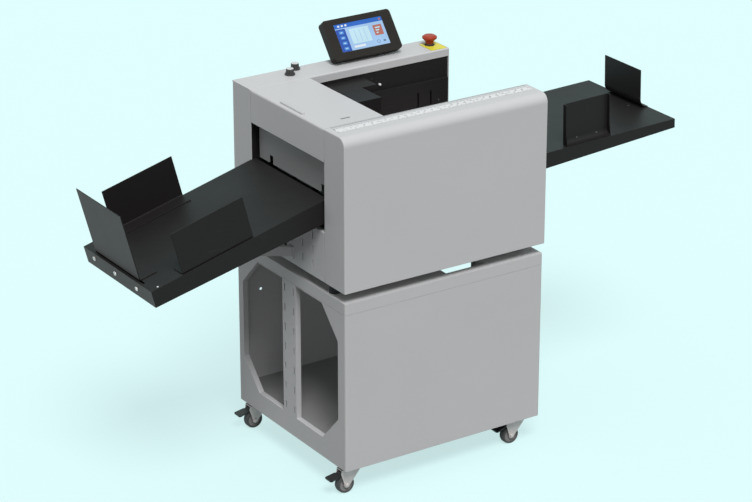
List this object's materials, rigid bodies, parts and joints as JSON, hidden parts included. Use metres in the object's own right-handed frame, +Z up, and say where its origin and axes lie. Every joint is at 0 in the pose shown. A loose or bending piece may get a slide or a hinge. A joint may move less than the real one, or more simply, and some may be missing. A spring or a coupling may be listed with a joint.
{
  "type": "paper creasing machine",
  "caption": "Sheet creasing machine on a wheeled cabinet stand with infeed and delivery trays, a tilting touch screen and an emergency stop.",
  "frame": {"origin": "centre of the whole outline on the floor", "axes": "+X the way sheets travel, from the infeed tray to the delivery tray; +Y from the front cover to the rear; +Z up"},
  "size_m": [1.6486, 0.5634, 1.0925],
  "materials": {
    "cover_grey": "fine textured powder coat, light grey",
    "stand_grey": "fine textured powder coat, light grey",
    "tray_black": "satin black powder coat",
    "stop_grey": "satin charcoal powder coat",
    "bracket_grey": "grey powder coat",
    "zinc_steel": "zinc plated steel",
    "caster_black": "moulded black plastic",
    "wheel_rubber": "dark grey rubber",
    "roller_rubber": "ground black rubber",
    "tool_steel": "ground steel",
    "black_plastic": "fine grained black plastic",
    "grip_grey": "moulded grey plastic",
    "screen_glass": "smooth display glass",
    "signal_red": "glossy moulded red-orange",
    "signal_yellow": "satin yellow enamel"
  },
  "bodies": {
    "root": {"caster_plates": "zinc_steel", "chassis_tray": "zinc_steel", "crease_anvil": "tool_steel", "delivery_table": "zinc_steel", "drive_belt": "roller_rubber", "drive_motor": "black_plastic", "estop_plate": "signal_yellow", "front_cover": "cover_grey", "front_side_plate": "tray_black", "head_cover": "tray_black", "infeed_arms": "bracket_grey", "infeed_gate": "cover_grey", "infeed_tray": "tray_black", "lid_hinge_pins": "zinc_steel", "lower_end_panels": "cover_grey", "machine_feet": "wheel_rubber", "outfeed_tray": "tray_black", "power_inlet": "black_plastic", "rear_cover": "cover_grey", "rear_side_plate": "tray_black", "screen_mount": "bracket_grey", "stand_base_plate": "stand_grey", "stand_front_panel": "stand_grey", "stand_left_frame": "stand_grey", "stand_rear_panel": "stand_grey", "stand_right_frame": "stand_grey", "stand_top_plate": "stand_grey", "top_deck": "cover_grey", "well_rear_panel": "tray_black"},
    "lid": {"feed_lid": "cover_grey", "lid_grip": "grip_grey"},
    "screen": {"screen_housing": "black_plastic", "screen_glass": "screen_glass"},
    "stop_button_stem": {"estop_plunger": "grip_grey"},
    "stop_button_head": {"estop_head": "signal_red"},
    "front_knob": {"knob_front": "black_plastic"},
    "rear_knob": {"knob_rear": "black_plastic"},
    "tray_stop": {"infeed_stop": "stop_grey"},
    "tray_guide_front": {"infeed_guide_front": "tray_black"},
    "tray_guide_rear": {"infeed_guide_rear": "tray_black"},
    "delivery_stop": {"outfeed_stop": "tray_black"},
    "delivery_guide": {"outfeed_guide": "tray_black"},
    "rocker": {"power_switch": "black_plastic"},
    "lower_roller": {"feed_roller_lower": "roller_rubber"},
    "upper_roller": {"feed_roller_upper": "roller_rubber"},
    "pulley": {"motor_pulley": "tool_steel"},
    "cams": {"cam_shaft": "tool_steel"},
    "blade": {"crease_blade": "tool_steel"},
    "swivel_fl": {"caster_fork_fl": "zinc_steel"},
    "wheel_fl": {"caster_wheel_fl": "wheel_rubber"},
    "pedal_fl": {"caster_pedal_fl": "caster_black"},
    "swivel_fr": {"caster_fork_fr": "zinc_steel"},
    "wheel_fr": {"caster_wheel_fr": "wheel_rubber"},
    "pedal_fr": {"caster_pedal_fr": "caster_black"},
    "swivel_rl": {"caster_fork_rl": "zinc_steel"},
    "wheel_rl": {"caster_wheel_rl": "wheel_rubber"},
    "pedal_rl": {"caster_pedal_rl": "caster_black"},
    "swivel_rr": {"caster_fork_rr": "zinc_steel"},
    "wheel_rr": {"caster_wheel_rr": "wheel_rubber"},
    "pedal_rr": {"caster_pedal_rr": "caster_black"}
  },
  "joints": [
    {"name": "lid_hinge", "type": "hinge", "parent": "root", "child": "lid", "pos_m": [-0.12016, -0.00966, 0.976], "axis": [0, 1, 0], "range_deg": [0, 80]},
    {"name": "screen_tilt", "type": "hinge", "parent": "root", "child": "screen", "pos_m": [0.09484, 0.22908, 1.01823], "axis": [-1, 0, 0], "range_deg": [0, 25]},
    {"name": "stop_button_press", "type": "slide", "parent": "root", "child": "stop_button_stem", "axis": [0, 0, -1], "range_m": [0, 0.005]},
    {"name": "stop_button_twist", "type": "hinge", "parent": "stop_button_stem", "child": "stop_button_head", "pos_m": [0.29784, 0.20933, 1.006], "axis": [0, 0, 1], "range_deg": [0, 45]},
    {"name": "front_knob_turn", "type": "hinge", "parent": "root", "child": "front_knob", "pos_m": [-0.14216, 0.20883, 0.996], "axis": [0, 0, 1], "range_deg": [-135, 135]},
    {"name": "rear_knob_turn", "type": "hinge", "parent": "root", "child": "rear_knob", "pos_m": [-0.10816, 0.23933, 0.996], "axis": [0, 0, 1], "range_deg": [-135, 135]},
    {"name": "tray_stop_slide", "type": "slide", "parent": "root", "child": "tray_stop", "axis": [0.9664, 0, 0.2571], "range_m": [0, 0.02]},
    {"name": "tray_guide_front_slide", "type": "slide", "parent": "root", "child": "tray_guide_front", "axis": [0, 1, 0], "range_m": [0, 0.1]},
    {"name": "tray_guide_rear_slide", "type": "slide", "parent": "root", "child": "tray_guide_rear", "axis": [0, -1, 0], "range_m": [0, 0.1]},
    {"name": "delivery_stop_slide", "type": "slide", "parent": "root", "child": "delivery_stop", "axis": [-0.9997, 0, -0.0244], "range_m": [0, 0.15]},
    {"name": "delivery_guide_slide", "type": "slide", "parent": "root", "child": "delivery_guide", "axis": [0, 1, 0], "range_m": [0, 0.08]},
    {"name": "rocker_tilt", "type": "hinge", "parent": "root", "child": "rocker", "pos_m": [0.24984, 0.25133, 0.651], "axis": [-1, 0, 0], "range_deg": [0, 16]},
    {"name": "lower_roller_turn", "type": "hinge", "parent": "root", "child": "lower_roller", "pos_m": [-0.22016, -0.00966, 0.782], "axis": [0, 1, 0], "continuous": true},
    {"name": "upper_roller_turn", "type": "hinge", "parent": "root", "child": "upper_roller", "pos_m": [-0.22016, -0.00966, 0.818], "axis": [0, 1, 0], "continuous": true},
    {"name": "motor_turn", "type": "hinge", "parent": "root", "child": "pulley", "pos_m": [-0.22016, 0.18083, 0.664], "axis": [0, 1, 0], "continuous": true},
    {"name": "cam_turn", "type": "hinge", "parent": "root", "child": "cams", "pos_m": [-0.16016, -0.00966, 0.884], "axis": [0, 1, 0], "range_deg": [0, 180]},
    {"name": "blade_slide", "type": "slide", "parent": "root", "child": "blade", "axis": [0, 0, -1], "range_m": [0, 0.0045]},
    {"name": "caster_swivel_fl", "type": "hinge", "parent": "root", "child": "swivel_fl", "pos_m": [-0.24216, -0.24266, 0.066], "axis": [0, 0, 1], "continuous": true},
    {"name": "caster_roll_fl", "type": "hinge", "parent": "swivel_fl", "child": "wheel_fl", "pos_m": [-0.26916, -0.24266, 0.025], "axis": [0, 1, 0], "continuous": true},
    {"name": "caster_brake_fl", "type": "hinge", "parent": "swivel_fl", "child": "pedal_fl", "pos_m": [-0.28116, -0.24266, 0.057], "axis": [0, -1, 0], "range_deg": [0, 15]},
    {"name": "caster_swivel_fr", "type": "hinge", "parent": "root", "child": "swivel_fr", "pos_m": [0.28184, -0.24266, 0.066], "axis": [0, 0, 1], "continuous": true},
    {"name": "caster_roll_fr", "type": "hinge", "parent": "swivel_fr", "child": "wheel_fr", "pos_m": [0.25484, -0.24266, 0.025], "axis": [0, 1, 0], "continuous": true},
    {"name": "caster_brake_fr", "type": "hinge", "parent": "swivel_fr", "child": "pedal_fr", "pos_m": [0.24284, -0.24266, 0.057], "axis": [0, -1, 0], "range_deg": [0, 15]},
    {"name": "caster_swivel_rl", "type": "hinge", "parent": "root", "child": "swivel_rl", "pos_m": [-0.24216, 0.21533, 0.066], "axis": [0, 0, 1], "continuous": true},
    {"name": "caster_roll_rl", "type": "hinge", "parent": "swivel_rl", "child": "wheel_rl", "pos_m": [-0.26916, 0.21533, 0.025], "axis": [0, 1, 0], "continuous": true},
    {"name": "caster_brake_rl", "type": "hinge", "parent": "swivel_rl", "child": "pedal_rl", "pos_m": [-0.28116, 0.21533, 0.057], "axis": [0, -1, 0], "range_deg": [0, 15]},
    {"name": "caster_swivel_rr", "type": "hinge", "parent": "root", "child": "swivel_rr", "pos_m": [0.28184, 0.21533, 0.066], "axis": [0, 0, 1], "continuous": true},
    {"name": "caster_roll_rr", "type": "hinge", "parent": "swivel_rr", "child": "wheel_rr", "pos_m": [0.25484, 0.21533, 0.025], "axis": [0, 1, 0], "continuous": true},
    {"name": "caster_brake_rr", "type": "hinge", "parent": "swivel_rr", "child": "pedal_rr", "pos_m": [0.24284, 0.21533, 0.057], "axis": [0, -1, 0], "range_deg": [0, 15]}
  ],
  "couplings": [
    {"joint": "upper_roller_turn", "follows": "lower_roller_turn", "ratio": -1},
    {"joint": "motor_turn", "follows": "lower_roller_turn", "ratio": 2},
    {"joint": "cam_turn", "follows": "blade_slide", "rad_per_m": 698.13}
  ]
}
